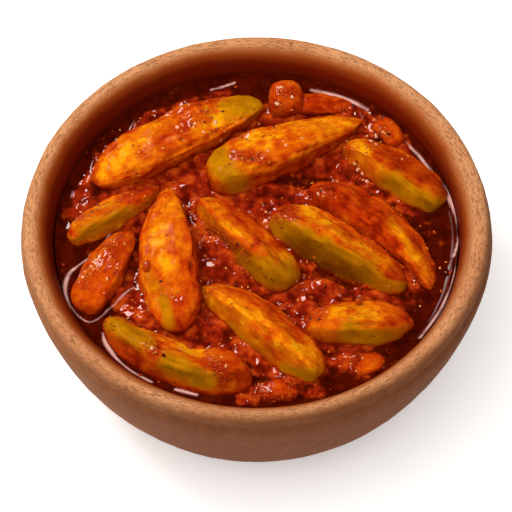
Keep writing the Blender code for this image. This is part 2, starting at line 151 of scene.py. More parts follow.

# Strokes of paint on the wedges, as seen in the photo: red coat, green flesh, bright yellow flesh with
# painted highlights, wet grains and painted shade. Each has two ends and a half width (pixels), and a strength.
STROKES = {
    "mango_back_left": dict(
        coat=((158, 136, 186, 128, 8, 0.7), (84, 180, 95, 166, 7, 0.9), (98, 154, 225, 94, 4, 0.6),
              (150, 160, 190, 148, 6, 0.3), (190, 120, 205, 118, 6, 0.6)),
        green=((235, 106, 262, 97, 12, 1.0),),
        bright=((104, 172, 122, 150, 9, 1.0), (122, 150, 150, 128, 7, 0.9), (236, 112, 258, 102, 9, 0.55),
                (200, 122, 230, 110, 9, 0.8), (170, 160, 195, 150, 5, 0.3)),
        grain=((178, 128, 215, 112, 7, 0.55), (136, 150, 166, 148, 5, 0.2), (150, 118, 220, 96, 4, 0.6))),
    "mango_back_top": dict(
        coat=((234, 153, 268, 160, 5, 0.9), (262, 185, 335, 158, 6, 0.5)),
        green=((210, 150, 236, 186, 13, 1.0), (206, 148, 222, 147, 5, 0.8)),
        bright=((206, 148, 222, 147, 5, 1.0), (248, 141, 264, 140, 9, 1.0), (275, 132, 325, 122, 8, 0.5),
                (330, 120, 358, 114, 5, 0.4)),
        grain=((212, 136, 243, 134, 5, 1.0), (233, 153, 268, 160, 5, 1.0))),
    "mango_back_chunk": dict(
        coat=((265, 90, 350, 108, 14, 0.3),),
        grain=((277, 90, 290, 94, 4, 0.9), (276, 104, 292, 110, 4, 0.9))),
    "mango_right_upper": dict(
        coat=((385, 153, 442, 188, 8, 1.0),),
        green=((393, 182, 440, 212, 10, 1.0),),
        bright=((350, 140, 364, 149, 6, 1.0), (366, 153, 392, 176, 4, 0.7), (438, 212, 444, 220, 4, 0.8)),
        grain=((354, 165, 372, 186, 4, 1.0), (344, 142, 350, 154, 4, 0.8)),
        dark=((385, 152, 442, 186, 6, 0.25),)),
    "mango_right_long": dict(
        coat=((318, 186, 376, 214, 14, 0.8), (380, 215, 395, 245, 6, 0.6)),
        bright=((391, 222, 416, 256, 5, 0.75), (420, 262, 430, 280, 4, 0.4),
                (422, 272, 434, 298, 7, 0.80)),
        grain=((318, 190, 330, 196, 5, 0.8),)),
    "mango_right_middle": dict(
        coat=((268, 214, 293, 204, 9, 0.65), (335, 222, 385, 250, 6, 0.6), (375, 262, 404, 280, 7, 0.5)),
        green=((290, 234, 368, 270, 12, 1.0),),
        bright=((299, 203, 332, 228, 6, 0.9), (330, 226, 385, 262, 5, 0.60)),
        grain=((276, 217, 292, 212, 6, 1.0),),
        dark=((296, 248, 356, 280, 12, 0.75),)),
    "mango_centre": dict(
        coat=((230, 202, 252, 218, 8, 0.8), (199, 234, 224, 246, 12, 1.0), (224, 246, 246, 256, 9, 1.0),
              (297, 260, 300, 284, 3, 0.9)),
        green=((246, 268, 288, 276, 13, 1.0),),
        bright=((206, 196, 220, 214, 6, 0.65), (222, 222, 250, 242, 4, 0.9),
                (265, 250, 291, 257, 5, 0.6)),
        grain=((199, 234, 224, 246, 11, 1.0), (226, 246, 242, 254, 8, 0.9), (248, 240, 262, 246, 4, 0.5)),
        dark=((200, 238, 222, 248, 7, 0.35), (250, 272, 288, 282, 10, 0.22))),
    "mango_front_middle": dict(
        coat=((250, 300, 300, 330, 6, 0.5), (275, 353, 296, 360, 6, 0.5), (212, 312, 262, 362, 5, 0.20)),
        green=((228, 330, 262, 366, 8, 0.6), (284, 370, 312, 382, 6, 0.9)),
        bright=((204, 288, 258, 318, 6, 0.85), (258, 318, 300, 346, 4, 0.7),
                (280, 335, 312, 366, 9, 0.8)),
        grain=((199, 288, 214, 294, 5, 0.7),)),
    "mango_left_upright": dict(
        coat=((188, 222, 193, 300, 6, 0.9), (180, 300, 190, 325, 10, 1.0)),
        green=((148, 276, 156, 288, 7, 0.5), (163, 300, 170, 324, 6, 0.9)),
        bright=((158, 232, 168, 272, 7, 1.0), (160, 240, 167, 268, 4, 1.0), (160, 195, 172, 215, 7, 0.3)),
        grain=((150, 205, 160, 190, 4, 0.9), (162, 290, 180, 300, 5, 0.6))),
    "mango_left_red": dict(
        bright=((78, 282, 116, 234, 4, 0.6),),
        grain=((80, 284, 118, 234, 6, 0.9), (108, 252, 120, 268, 7, 0.8))),
    "mango_left_slim": dict(
        coat=((128, 200, 162, 186, 8, 0.8),),
        green=((84, 230, 126, 210, 7, 0.7),),
        bright=((74, 224, 112, 200, 4, 1.0),),
        grain=((76, 220, 150, 184, 3, 0.8),)),
    "mango_front_curved": dict(
        coat=((118, 312, 146, 320, 6, 0.4), (148, 346, 158, 376, 8, 0.55), (126, 352, 160, 384, 7, 0.9),
              (214, 358, 246, 378, 12, 0.70), (182, 338, 230, 344, 4, 0.6)),
        green=((114, 324, 146, 342, 8, 1.0), (168, 362, 206, 380, 9, 1.0)),
        bright=((156, 326, 184, 345, 6, 0.6), (178, 346, 214, 356, 5, 0.9)),
        grain=((120, 312, 144, 320, 6, 0.9), (148, 346, 158, 354, 5, 0.9), (210, 356, 224, 380, 6, 1.0))),
    "mango_front_right": dict(
        coat=((315, 340, 342, 346, 8, 0.9), (392, 318, 414, 322, 9, 0.9)),
        green=((350, 332, 386, 345, 10, 1.0),),
        bright=((308, 318, 330, 312, 7, 0.3), (336, 310, 388, 315, 6, 0.75),
                (318, 326, 346, 327, 4, 0.5)),
        grain=((306, 316, 322, 311, 6, 0.7),)),
    "mango_sunk_right": dict(
        bright=((345, 376, 385, 362, 5, 0.25),)),
    "mango_sunk_front": dict(
        bright=((262, 392, 300, 396, 5, 0.2),),
        grain=((250, 384, 280, 400, 7, 0.8),)),
    "mango_chunk_right": dict(
        grain=((366, 146, 384, 134, 7, 0.9),)),
}
STROKES["tail"] = STROKES["mango_back_chunk"]
# How soft the edge of each kind is.
SOFTNESS = dict(coat=0.95, green=0.95, bright=0.95, dark=0.95, grain=0.6)

# Heaped, grainy masala between the wedges, as strokes of the same sort.
HEAPS = (
    (78, 200, 100, 165, 7, 0.8), (100, 160, 150, 118, 6, 0.7), (150, 116, 226, 93, 5, 0.5),
    (75, 215, 140, 190, 9, 0.9), (150, 185, 190, 176, 9, 0.9), (190, 180, 197, 200, 8, 0.9),
    (196, 185, 197, 300, 8, 0.9), (205, 232, 245, 258, 12, 1.0), (240, 206, 262, 232, 8, 0.7),
    (265, 205, 275, 228, 7, 0.7), (300, 188, 322, 196, 8, 0.8), (335, 160, 350, 190, 9, 0.8),
    (345, 112, 380, 128, 10, 0.9), (302, 285, 335, 290, 12, 1.0), (290, 300, 302, 318, 9, 0.9),
    (335, 354, 365, 370, 9, 0.9), (245, 395, 285, 382, 10, 0.9), (285, 380, 320, 392, 7, 0.5),
    (205, 328, 240, 345, 8, 0.9), (118, 300, 152, 316, 10, 1.0), (122, 224, 138, 212, 7, 0.9),
    (442, 262, 458, 270, 7, 0.5), (262, 176, 290, 190, 6, 0.4), (240, 300, 262, 306, 5, 0.6),
    (398, 150, 412, 162, 6, 0.8), (386, 118, 408, 140, 9, 1.0), (384, 146, 398, 156, 6, 0.9),
    (194, 150, 206, 172, 6, 0.9), (404, 160, 425, 178, 5, 0.6),
)
# Where dark oil stands between the heaps.
POOLS = (
    (262, 176, 330, 184, 5, 0.8), (318, 272, 350, 282, 6, 0.8), (376, 284, 408, 294, 6, 0.6),
    (225, 330, 232, 345, 6, 0.5), (415, 222, 440, 262, 9, 0.8), (60, 236, 80, 262, 6, 0.6),
    (300, 350, 335, 352, 5, 0.7), (240, 385, 262, 378, 5, 0.5), (90, 186, 128, 172, 4, 0.5),
)
# Where the heaps are orange rather than dark red.
ORANGE = (
    (200, 234, 245, 258, 11, 1.0), (302, 282, 338, 288, 10, 0.5), (125, 290, 160, 312, 9, 0.7),
    (245, 388, 285, 378, 8, 0.6), (115, 304, 146, 318, 8, 1.0), (122, 224, 138, 212, 7, 1.0),
    (85, 215, 130, 200, 6, 0.3), (366, 282, 376, 292, 6, 0.8), (240, 302, 262, 306, 5, 0.6),
    (400, 150, 412, 162, 5, 0.8), (384, 118, 408, 140, 9, 0.9), (360, 118, 380, 126, 6, 0.7),
    (194, 152, 204, 170, 5, 0.7), (172, 184, 192, 180, 6, 0.9), (270, 184, 290, 188, 5, 0.6),
)
# Painted reflections where the oil's edge shines, as seen in the photo: the knots of each smooth line,
# as x, y and half width.
GLEAMS = (
    ((311, 89, 0.9), (322, 92, 1.5), (338, 96, 1.3), (354, 102, 1.2), (368, 109, 0.8)),
    ((402, 139, 0.7), (416, 152, 1.0), (430, 170, 1.4), (445, 192, 1.7), (455, 214, 1.2), (459, 236, 0.9),
     (454, 256, 1.0)),
    ((458, 264, 0.8), (450, 290, 0.9), (438, 314, 1.2), (420, 338, 1.0)),
    ((117, 222, 0.4), (107, 237, 0.5), (95, 252, 0.6), (80, 263, 0.7), (69, 273, 1.4), (65, 288, 1.5),
     (68, 302, 0.8), (76, 314, 0.5), (88, 321, 0.4), (99, 317, 0.5), (112, 305, 0.5), (124, 296, 0.6),
     (134, 286, 0.4)),
    ((103, 332, 0.7), (105, 341, 1.7), (111, 351, 1.6), (118, 360, 0.9), (130, 370, 0.9), (142, 377, 1.0),
     (152, 382, 0.6)),
    ((175, 389, 0.9), (186, 391, 1.5), (197, 394, 0.9)),
    ((211, 89, 0.6), (222, 86, 0.7), (235, 82, 0.6)),
)
# Pale spots, partly pale seeds and partly painted glints where wet grains catch the light, as seen in the photo:
# place and radius (pixels).
PALE = (
    (139, 152, 1.8), (149, 143, 1.9), (163, 148, 1.8), (108, 168, 2.0), (215, 123, 2.6), (222, 100, 2.0),
    (204, 132, 2.3), (182, 131, 1.6), (184, 140, 1.8), (207, 110, 1.8), (245, 120, 2.0), (236, 122, 1.3),
    (198, 112, 1.2), (174, 182, 1.6), (131, 211, 1.8), (239, 210, 2.0), (259, 124, 1.5), (221, 141, 1.8),
    (236, 155, 1.7), (242, 158, 1.8), (248, 160, 1.9), (262, 158, 2.2), (268, 150, 2.0), (281, 87, 2.4),
    (292, 97, 2.4), (277, 104, 2.6), (292, 110, 1.8), (286, 145, 2.6), (283, 141, 1.4), (302, 138, 1.8),
    (355, 164, 2.4), (358, 169, 2.6), (362, 174, 2.6), (367, 181, 2.4), (359, 166, 1.4), (363, 180, 1.5),
    (344, 147, 1.8), (347, 141, 1.6), (371, 141, 2.8), (377, 136, 3.0), (376, 144, 2.2), (383, 132, 2.0),
    (367, 136, 1.6), (381, 142, 1.8), (372, 131, 1.7), (370, 113, 2.2), (374, 120, 1.9), (366, 127, 1.4),
    (392, 122, 1.3), (402, 159, 1.6), (408, 156, 1.4), (312, 183, 1.8), (318, 194, 2.2), (323, 196, 2.0),
    (286, 216, 2.2), (281, 219, 1.5), (338, 182, 1.7), (282, 198, 1.3), (266, 212, 1.6), (265, 222, 1.5),
    (262, 203, 1.3), (268, 226, 1.3), (125, 244, 2.0), (107, 279, 1.8), (117, 268, 1.4), (104, 293, 1.2),
    (155, 299, 1.4), (158, 307, 1.2), (152, 348, 2.2), (156, 352, 1.6), (181, 349, 1.8), (222, 357, 2.0),
    (226, 366, 1.9), (216, 361, 1.4), (235, 345, 1.5), (231, 338, 1.2), (213, 266, 1.4), (205, 256, 1.4),
    (201, 281, 1.5), (226, 268, 1.5), (242, 287, 1.6), (248, 287, 1.3), (205, 297, 1.3), (297, 281, 1.6),
    (320, 281, 1.6), (307, 262, 1.6), (298, 300, 1.6), (290, 306, 1.4), (327, 312, 1.6), (345, 357, 1.7),
    (351, 364, 1.8), (362, 358, 1.5), (340, 366, 1.5), (356, 371, 1.3), (262, 384, 1.4), (255, 392, 1.5),
    (440, 268, 1.6), (446, 262, 1.3), (414, 284, 1.4), (420, 306, 1.4), (139, 176, 1.3), (81, 212, 1.6),
    (85, 206, 1.3), (140, 118, 1.3), (120, 130, 1.2), (187, 206, 1.3), (190, 212, 1.3), (195, 225, 1.4),
    (456, 268, 1.4), (389, 286, 1.2), (132, 308, 1.5), (138, 315, 1.5), (128, 318, 1.3), (150, 338, 1.2),
)
# The clumps fused to the masala, as in the model: x, y, length, breadth, height (mm) and turn (degrees).
CLUMPS = (
    (-21.0, 17.5, 14.0, 8.0, 2.2, 10.0), (-50.0, 11.5, 9.0, 6.0, 1.6, 40.0),
    (20.5, -17.0, 9.0, 6.5, 2.0, -15.0), (33.0, -16.5, 5.5, 4.0, 1.6, 0.0),
    (-10.5, -5.0, 15.0, 8.0, 3.2, -38.0), (14.5, -23.0, 8.0, 9.0, 2.2, 0.0),
    (-12.0, -11.0, 11.0, 7.0, 2.2, -20.0), (25.5, 24.0, 6.5, 9.0, 3.0, 20.0),
    (27.5, -41.5, 10.0, 7.0, 2.0, 0.0), (46.5, 27.0, 4.5, 4.0, 1.8, 0.0), (-14.5, -31.5, 15.0, 8.0, 2.6, -12.0),
    (-39.5, -20.0, 8.0, 7.0, 1.8, 0.0), (5.0, 17.5, 9.0, 5.0, 2.0, -10.0), (-17.0, 28.0, 6.0, 5.0, 2.4, 30.0),
    (-8.0, -1.0, 6.0, 10.0, 2.2, 0.0),
)


# ---- numbers and noise

def smooth(low, high, value):
    part = np.clip((value - low) / (high - low), 0.0, 1.0)
    return part * part * (3.0 - 2.0 * part)


def hashed(cells, salt):
    """A repeatable number from 0 to 1 for each row of three whole numbers."""
    x, y, z = cells[..., 0], cells[..., 1], cells[..., 2]
    n = ((x * 73856093) ^ (y * 19349663) ^ (z * 83492791) ^ (salt * 2654435761)) & 0xFFFFFFFF
    n = ((n ^ (n >> 15)) * 0x2C1B3C6D) & 0xFFFFFFFF
    n = ((n ^ (n >> 12)) * 0x297A2D39) & 0xFFFFFFFF
    return (n ^ (n >> 15)) / 4294967295.0


def value_noise(points, salt=0):
    """Smooth noise from -1 to 1 at each point."""
    base = np.floor(points).astype(np.int64)
    part = points - base
    part = part * part * part * (part * (part * 6.0 - 15.0) + 10.0)
    total = np.zeros(len(points))
    for corner in np.ndindex(2, 2, 2):
        weight = np.prod(np.where(np.array(corner) == 1, part, 1.0 - part), axis=-1)
        total += weight * hashed(base + np.array(corner), salt)
    return total * 2.0 - 1.0


def layered(points, size, salt=0, layers=3):
    """Noise of several scales, the largest of the given size, from about -1 to 1."""
    total = np.zeros(len(points))
    reach = 0.0
    for layer in range(layers):
        total += value_noise(points / size * 2.0**layer + 17.3 * layer, salt + layer) * 0.5**layer
        reach += 0.5**layer
    return total / reach * 1.4


def cells_near(points, size, salt=0):
    """Distance to the nearest of scattered points, in units of size, and that point's number."""
    spots = points / size
    base = np.floor(spots).astype(np.int64)
    nearest = np.full(len(points), 9.0)
    number = np.zeros(len(points))
    for step in np.ndindex(3, 3, 3):
        cell = base + np.array(step) - 1
        place = np.stack([hashed(cell, salt + axis) for axis in range(3)], axis=-1)
        distance = np.linalg.norm(cell + place - spots, axis=-1)
        closer = distance < nearest
        nearest = np.where(closer, distance, nearest)
        number = np.where(closer, hashed(cell, salt + 7), number)
    return nearest, number


def summed(steps):
    """How far along a line each point lies, from the lengths of its steps."""
    return np.concatenate([[0.0], np.cumsum(steps)])


# ---- the photo's view

FORWARD = np.array(CAMERA_AIM) - np.array(CAMERA_AT)
FORWARD /= np.linalg.norm(FORWARD)
RIGHT = np.cross(FORWARD, (0.0, 0.0, 1.0))
RIGHT /= np.linalg.norm(RIGHT)
UPWARD = np.cross(RIGHT, FORWARD)
STAND = np.array(CAMERA_AT) / MM


def pixels(points):
    """Where points (mm) lie in the photo."""
    offset = points - STAND
    depth = offset @ FORWARD
    across = PICTURE / 2 + FOCAL * (offset @ RIGHT) / depth
    down = PICTURE / 2 - FOCAL * (offset @ UPWARD) / depth
    return np.stack([across, down], axis=-1)


def sight(x, y):
    """The direction from the camera through a pixel of the photo."""
    ray = FORWARD * FOCAL + RIGHT * (x - PICTURE / 2) - UPWARD * (y - PICTURE / 2)
    return ray / np.linalg.norm(ray)


def covered(spots, wander, strokes, soft=0.4):
    """How much strokes of paint cover each spot (pixels), with wandering edges."""
    total = np.zeros(len(spots))
    for x0, y0, x1, y1, half, strength in strokes:
        start = np.array((x0, y0), float)
        line = np.array((x1, y1), float) - start
        along = np.clip((spots - start) @ line / max(line @ line, 1.0), 0.0, 1.0)
        away = np.linalg.norm(spots - start - along[:, None] * line, axis=-1) / half
        total = np.maximum(total, strength * smooth(1.05 + soft, 1.05 - soft, away + 0.35 * wander))
    return total


def ribbon(spots, knots):
    """How much a smooth, tapered line through knots of (x, y, half width) covers each spot (pixels)."""
    knots = np.array(knots, float)
    ends = np.concatenate([2 * knots[:1] - knots[1:2], knots, 2 * knots[-1:] - knots[-2:-1]])
    line = []
    for a, b, c, d in zip(ends, ends[1:], ends[2:], ends[3:]):
        for t in np.linspace(0.0, 1.0, 6, endpoint=False):
            line.append(0.5 * (2 * b + (c - a) * t + (2 * a - 5 * b + 4 * c - d) * t**2
                               + (3 * b - a - 3 * c + d) * t**3))
    line.append(knots[-1])
    total = np.zeros(len(spots))
    for (x0, y0, half), (x1, y1, _) in zip(line, line[1:]):
        close = np.abs(spots[:, 0] - x0) + np.abs(spots[:, 1] - y0) < 20.0
        part = covered(spots[close], 0.0, [(x0, y0, x1, y1, half, 1.0)], 0.6)
        total[close] = np.maximum(total[close], part)
    return total


# ---- meshes

def make_mesh(name, points, faces):
    mesh = bpy.data.meshes.new(name)
    mesh.from_pydata((np.asarray(points) * MM).tolist(), [], faces)
    mesh.validate()
    mesh.shade_smooth()
    piece = bpy.data.objects.new(name, mesh)
    bpy.context.scene.collection.objects.link(piece)
    return piece


def rows(vectors, field):
    """One field of a mesh's vertices or normals, as rows of three numbers."""
    found = np.empty(len(vectors) * 3, np.float32)
    vectors.foreach_get(field, found)
    return found.reshape(-1, 3).astype(float)


def move_points(piece, points):
    piece.data.vertices.foreach_set("co", (points * MM).astype(np.float32).ravel())
    piece.data.update()


def paint(piece, name, *channels):
    """Keeps three masks as the channels of a colour attribute."""
    values = np.ones((len(piece.data.vertices), 4), np.float32)
    for channel, value in enumerate(channels):
        values[:, channel] = np.clip(value, 0.0, 1.0)
    layer = piece.data.color_attributes.new(name=name, type="FLOAT_COLOR", domain="POINT")
    layer.data.foreach_set("color", values.ravel())


def turned_faces(count, steps):
    """Quads between a turned form's rings of points, each ring of that many steps."""
    faces = []
    for ring in range(0, (count - 1) * steps, steps):
        for step in range(steps):
            after = (step + 1) % steps
            faces.append((ring + step, ring + after, ring + steps + after, ring + steps + step))
    return faces


def sphere(polar, turns, way):
    """A unit sphere: rings of points, then both poles, and its faces. It runs down for way 1 and up for -1."""
    count, steps = len(polar), len(turns)
    points = np.stack([np.outer(np.sin(polar), np.cos(turns)), np.outer(np.sin(polar), np.sin(turns)),
                       np.outer(way * np.cos(polar), np.ones(steps))], axis=-1).reshape(-1, 3)
    points = np.concatenate([points, [(0.0, 0.0, way), (0.0, 0.0, -way)]])
    first, last, base = count * steps, count * steps + 1, (count - 1) * steps
    faces = turned_faces(count, steps)
    faces += [(first, (step + 1) % steps, step) for step in range(steps)]
    faces += [(last, base + step, base + (step + 1) % steps) for step in range(steps)]
    return points, [face[::-way] for face in faces]


def search_tree(pieces):
    """A search tree of pieces (mm), and how many faces come before each."""
    points, faces, before = [], [], []
    for piece in pieces:
        offset = len(points)
        before.append(len(faces))
        points += [tuple(spot) for spot in rows(piece.data.vertices, "co") / MM]
        faces += [tuple(v + offset for v in face.vertices) for face in piece.data.polygons]
    return BVHTree.FromPolygons(points, faces), before


# ---- material nodes

class Value:
    """A node's output. Arithmetic on it makes maths nodes; times a tuple it is scaled as a vector."""

    def __init__(self, socket):
        self.socket = socket
        self.tree = socket.id_data

    def maths(self, operation, a, b):
        kind = "VectorMath" if isinstance(b, tuple) else "Math"
        return node(self.tree, kind, {0: a, 1: b}, operation=operation)

    def __add__(self, other):
        return self.maths("ADD", self, other)

    def __sub__(self, other):
        return self.maths("SUBTRACT", self, other)

    def __rsub__(self, other):
        return self.maths("SUBTRACT", other, self)

    def __mul__(self, other):
        return self.maths("MULTIPLY", self, other)

    def __truediv__(self, other):
        return self.maths("DIVIDE", self, other)


def fill(made, inputs):
    """Links or sets inputs of a node."""
    for name, value in inputs.items():
        socket = made.inputs[name]
        if isinstance(value, Value):
            made.id_data.links.new(value.socket, socket)
        elif socket.type == "RGBA":
            socket.default_value = (*value, 1.0)
        else:
            socket.default_value = value


def node(tree, kind, inputs, output=0, **settings):
    """One output of a new node with these inputs and settings."""
    made = tree.nodes.new("ShaderNode" + kind)
    for name, value in settings.items():
        setattr(made, name, value)
    fill(made, inputs)
    return Value(made.outputs[output])


def blend(amount, a, b):
    return node(amount.tree, "Mix", {"Factor": amount, 6: a, 7: b}, 2, data_type="RGBA")


def ramp(value, low, high, out_low=0.0, out_high=1.0):
    inputs = {"Value": value, "From Min": low, "From Max": high, "To Min": out_low, "To Max": out_high}
    return node(value.tree, "MapRange", inputs, interpolation_type="SMOOTHSTEP")


def tones(value, *stops):
    """A colour that runs through stops of (place, colour)."""
    colour = node(value.tree, "ValToRGB", {0: value}, "Color")
    line = colour.socket.node.color_ramp
    while len(line.elements) < len(stops):
        line.elements.new(0.5)
    for element, (place, tone) in zip(line.elements, stops):
        element.position = place
        element.color = (*tone, 1.0)
    return colour


def cloud(place, scale, detail=3.0, rough=0.55, w=None):
    """Noise, in four dimensions where w is given."""
    inputs = {"Vector": place, "Scale": scale, "Detail": detail, "Roughness": rough}
    if w is None:
        return node(place.tree, "TexNoise", inputs, "Fac")
    return node(place.tree, "TexNoise", {**inputs, "W": w}, "Fac", noise_dimensions="4D")


def bump(height, distance, strength=1.0, under=None):
    inputs = {"Height": height, "Distance": distance, "Strength": strength}
    return node(height.tree, "Bump", {**inputs, "Normal": under} if under else inputs, "Normal")


def split(value, kind):
    """The three parts of a Color or an XYZ."""
    first = node(value.tree, "Separate" + kind, {0: value})
    return [Value(socket) for socket in first.socket.node.outputs[:3]]


def painted(tree, name):
    """The three masks kept by paint()."""
    return split(node(tree, "Attribute", {}, "Color", attribute_name=name), "Color")


def from_axis(place):
    """The distance from the bowl's axis."""
    return node(place.tree, "VectorMath", {0: place * (1.0, 1.0, 0.0)}, "Value", operation="LENGTH")


def new_material(name):
    """A material, its nodes and its shader."""
    made = bpy.data.materials.new(name)
    made.use_nodes = True
    return made, made.node_tree, made.node_tree.nodes["Principled BSDF"]


def place_mm(tree):
    """The place on the object, in millimetres."""
    return node(tree, "TexCoord", {}, "Object") * (1.0 / MM, 1.0 / MM, 1.0 / MM)


def mango_material():
    made, tree, shader = new_material("mango_flesh")
    place = place_mm(tree)
    glaze, green, shade = painted(tree, "paint")
    grains, wet, _ = painted(tree, "state")
    lie = node(tree, "Attribute", {}, "Vector", attribute_name="lie")
    broad = cloud(place, 0.20)
    middle = cloud(lie * (0.7, 1.0, 1.0), 0.50)
    fine = cloud(place, 1.9, 3.0, 0.6)
    fibre = cloud(lie * (0.12, 1.0, 1.0), 1.6, 3.0, 0.6)
    blotch = ramp(cloud(place, 0.24), 0.46, 0.62, -0.05, 0.12)
    sway = (middle - 0.5) * 0.80 + (broad - 0.5) * 0.75 + (fine - 0.5) * 0.34 + (fibre - 0.5) * 0.08 + blotch
    depth = glaze + sway
    depth.socket.node.use_clamp = True
    flesh = tones(
        depth,
        (0.00, (0.90, 0.345, 0.0040)), (0.20, (0.76, 0.175, 0.0028)), (0.42, (0.61, 0.086, 0.0022)),
        (0.60, (0.51, 0.044, 0.0020)), (0.78, (0.38, 0.022, 0.0014)), (1.00, (0.19, 0.0080, 0.0008)))
    leaf = blend(ramp(broad, 0.4, 0.65), (0.41, 0.145, 0.0012), (0.54, 0.200, 0.0014))
    colour = blend(ramp(green - (glaze * 0.30 + depth * 0.12), -0.10, 0.85), flesh, leaf)
    spots = cloud(lie * (0.42, 1.0, 1.0), 1.9, 2.0, 0.75)
    for amount, tone in (
            (ramp(spots, 0.685, 0.72) * 0.8, (0.11, 0.010, 0.0015)),
            (grains * ramp(fine, 0.54, 0.64), (0.60, 0.085, 0.012)),
            (grains * ramp(fine, 0.44, 0.34), (0.17, 0.007, 0.0015)),
            # painted shade from the dark strokes
            (shade, (0.085, 0.0065, 0.0006)),
            # the foot by the masala darkens, partly from wet sauce and partly as painted shade
            (wet * 0.75, (0.19, 0.0100, 0.0010))):
        colour = blend(amount, colour, tone)
    fill(shader, {
        "Base Color": colour, "Roughness": fine * 0.25 + 0.28, "Normal": bump(fine, 0.00007),
        "Specular IOR Level": 0.0, "Coat Weight": ramp(grains, 0.1, 0.7, 0.05, 0.7), "Coat Roughness": 0.07,
        "Subsurface Weight": 0.22, "Subsurface Radius": (1.0, 0.30, 0.04), "Subsurface Scale": 0.003})
    return made


def masala_material():
    made, tree, shader = new_material("masala_paste")
    place = place_mm(tree)
    heap, orange, gleam = painted(tree, "paint")
    middle = cloud(place, 0.32, 2.5, 0.52)
    fine = cloud(place, 1.9, 3.0, 0.6)
    oil = blend(ramp(cloud(place, 0.3), 0.35, 0.65), (0.042, 0.0022, 0.0002), (0.080, 0.0042, 0.0004))
    paste = tones(
        middle * 0.90 + fine * 0.08 + orange * 0.15,
        (0.38, (0.125, 0.0050, 0.0012)), (0.50, (0.250, 0.0120, 0.0024)), (0.60, (0.38, 0.025, 0.0034)),
        (0.74, (0.60, 0.075, 0.0060)))
    heaped = ramp(heap + (middle - 0.5) * 1.2, 0.10, 0.70)
    colour = blend(heaped, oil, paste)
    colour = blend(ramp(cloud(place, 1.6, 2.0), 0.60, 0.70, 0.0, 0.3), colour, (0.05, 0.004, 0.001))
    # A painted reflection: pale lines along the oil's edge.
    colour = blend(gleam * 0.9, colour, (0.80, 0.44, 0.38))
    wrinkles = bump(cloud(place, 1.0, 3.0, 0.50), 0.00075, heaped)
    fill(shader, {
        "Base Color": colour, "Roughness": ramp(heaped, 0.0, 1.0, 0.12, 0.24),
        "Normal": bump(fine, 0.00009, heaped, wrinkles), "Specular IOR Level": 0.0,
        "Coat Weight": ramp(from_axis(place), 56.8, 58.4, 0.8, 0.08), "Coat Roughness": 0.05})
    return made


def spice_material():
    made, tree, shader = new_material("spice_grains")
    place = place_mm(tree)
    mottle = cloud(place, 3.0, 3.0, 0.6)
    # The palest tones serve the pale spots, partly painted glints.
    colour = tones(
        painted(tree, "paint")[1] + (mottle - 0.5) * 0.18,
        (0.00, (0.030, 0.0045, 0.0012)), (0.16, (0.090, 0.0080, 0.0015)), (0.30, (0.26, 0.0150, 0.0015)),
        (0.50, (0.47, 0.050, 0.0030)), (0.72, (0.68, 0.170, 0.0080)), (0.86, (0.82, 0.340, 0.120)),
        (1.00, (0.92, 0.620, 0.460)))
    fill(shader, {
        "Base Color": colour, "Roughness": mottle * 0.2 + 0.16, "Normal": bump(mottle, 0.00008),
        "Specular IOR Level": 0.1, "Coat Weight": 0.8, "Coat Roughness": 0.06})
    return made


def clay_material():
    made, tree, shader = new_material("terracotta_clay")
    place = place_mm(tree)
    stain, soak, outer = painted(tree, "paint")
    x, y, z = split(place, "XYZ")
    radius = from_axis(place)
    # Marks of the wheel run round the bowl: they are placed by direction, height and, as w, the radius.
    turned = node(tree, "CombineXYZ", {0: x / radius, 1: y / radius, 2: z / 30.0})
    depth = radius / 30.0
    middle = cloud(place, 0.35, 4.0, 0.6)
    bands = cloud(turned * (1.0, 1.0, 9.0), 1.6, 4.0, 0.6, depth * 9.0)
    dashes = cloud(turned * (38.0, 38.0, 84.0), 1.0, 3.0, 0.60, depth * 84.0)
    grit = cloud(place, 3.4, 3.0, 0.75)
    colour = blend(ramp(cloud(place, 0.045, 4.0, 0.6), 0.35, 0.65), (0.61, 0.250, 0.098), (0.72, 0.330, 0.140))
    # Painted shade for the outside below the crest.
    shaded = blend(ramp(middle, 0.35, 0.65), (0.118, 0.033, 0.0125), (0.160, 0.047, 0.0175))
    # Oil-soaked clay, deepening to dark red; the deeper tones are partly painted shade.
    soaked = tones(
        soak, (0.0, (0.42, 0.110, 0.023)), (0.4, (0.28, 0.044, 0.0052)), (1.0, (0.165, 0.0100, 0.0009)))
    edge = ramp(stain + (middle - 0.5) * 0.35, 0.1, 0.9)
    for amount, tone in (
            (ramp(bands, 0.40, 0.65, 0.0, 0.4), (0.48, 0.185, 0.070)),
            (ramp(middle, 0.5, 0.7, 0.0, 0.35), (0.76, 0.38, 0.17)),
            (outer * 0.9, shaded),
            (ramp(dashes, 0.50, 0.61, 0.0, 0.75), (0.20, 0.060, 0.020)),
            (ramp(grit, 0.54, 0.66, 0.0, 0.45), (0.24, 0.074, 0.025)),
            (ramp(grit, 0.46, 0.34, 0.0, 0.6) * (1.0 - outer), (0.78, 0.42, 0.23)),
            (edge, soaked)):
        colour = blend(amount, colour, tone)
    pits = bump(dashes, 0.00040, 0.6)
    fill(shader, {
        "Base Color": colour, "Roughness": ramp(edge, 0.0, 1.0, 0.78, 0.42),
        "Normal": bump(grit, 0.00012, 0.5, pits), "Specular IOR Level": 0.08})
    return made


# ---- the bowl

def outer_radius(height):
    if height > BELLY_HEIGHT:
        part = (height - BELLY_HEIGHT) / (GROOVE_HEIGHT - BELLY_HEIGHT)
        return BELLY_RADIUS + (GROOVE_RADIUS - BELLY_RADIUS) * part**2
    depth = 1.0 - height / BELLY_HEIGHT
    return FOOT_RADIUS + (BELLY_RADIUS - FOOT_RADIUS) * (1.0 - depth**BELLY_POWERS[0]) ** BELLY_POWERS[1]


def inner_radius(height):
    if height >= MOUTH_HEIGHT:
        return MOUTH_RADIUS
    depth = 1.0 - (height - FLOOR) / (MOUTH_HEIGHT - FLOOR)
    return min(MOUTH_RADIUS, outer_radius(height) - WALL) * (1.0 - max(depth, 0.0) ** 6) ** 0.4


def step_lengths(rail):
    return np.linalg.norm(np.diff(rail, axis=0), axis=1)


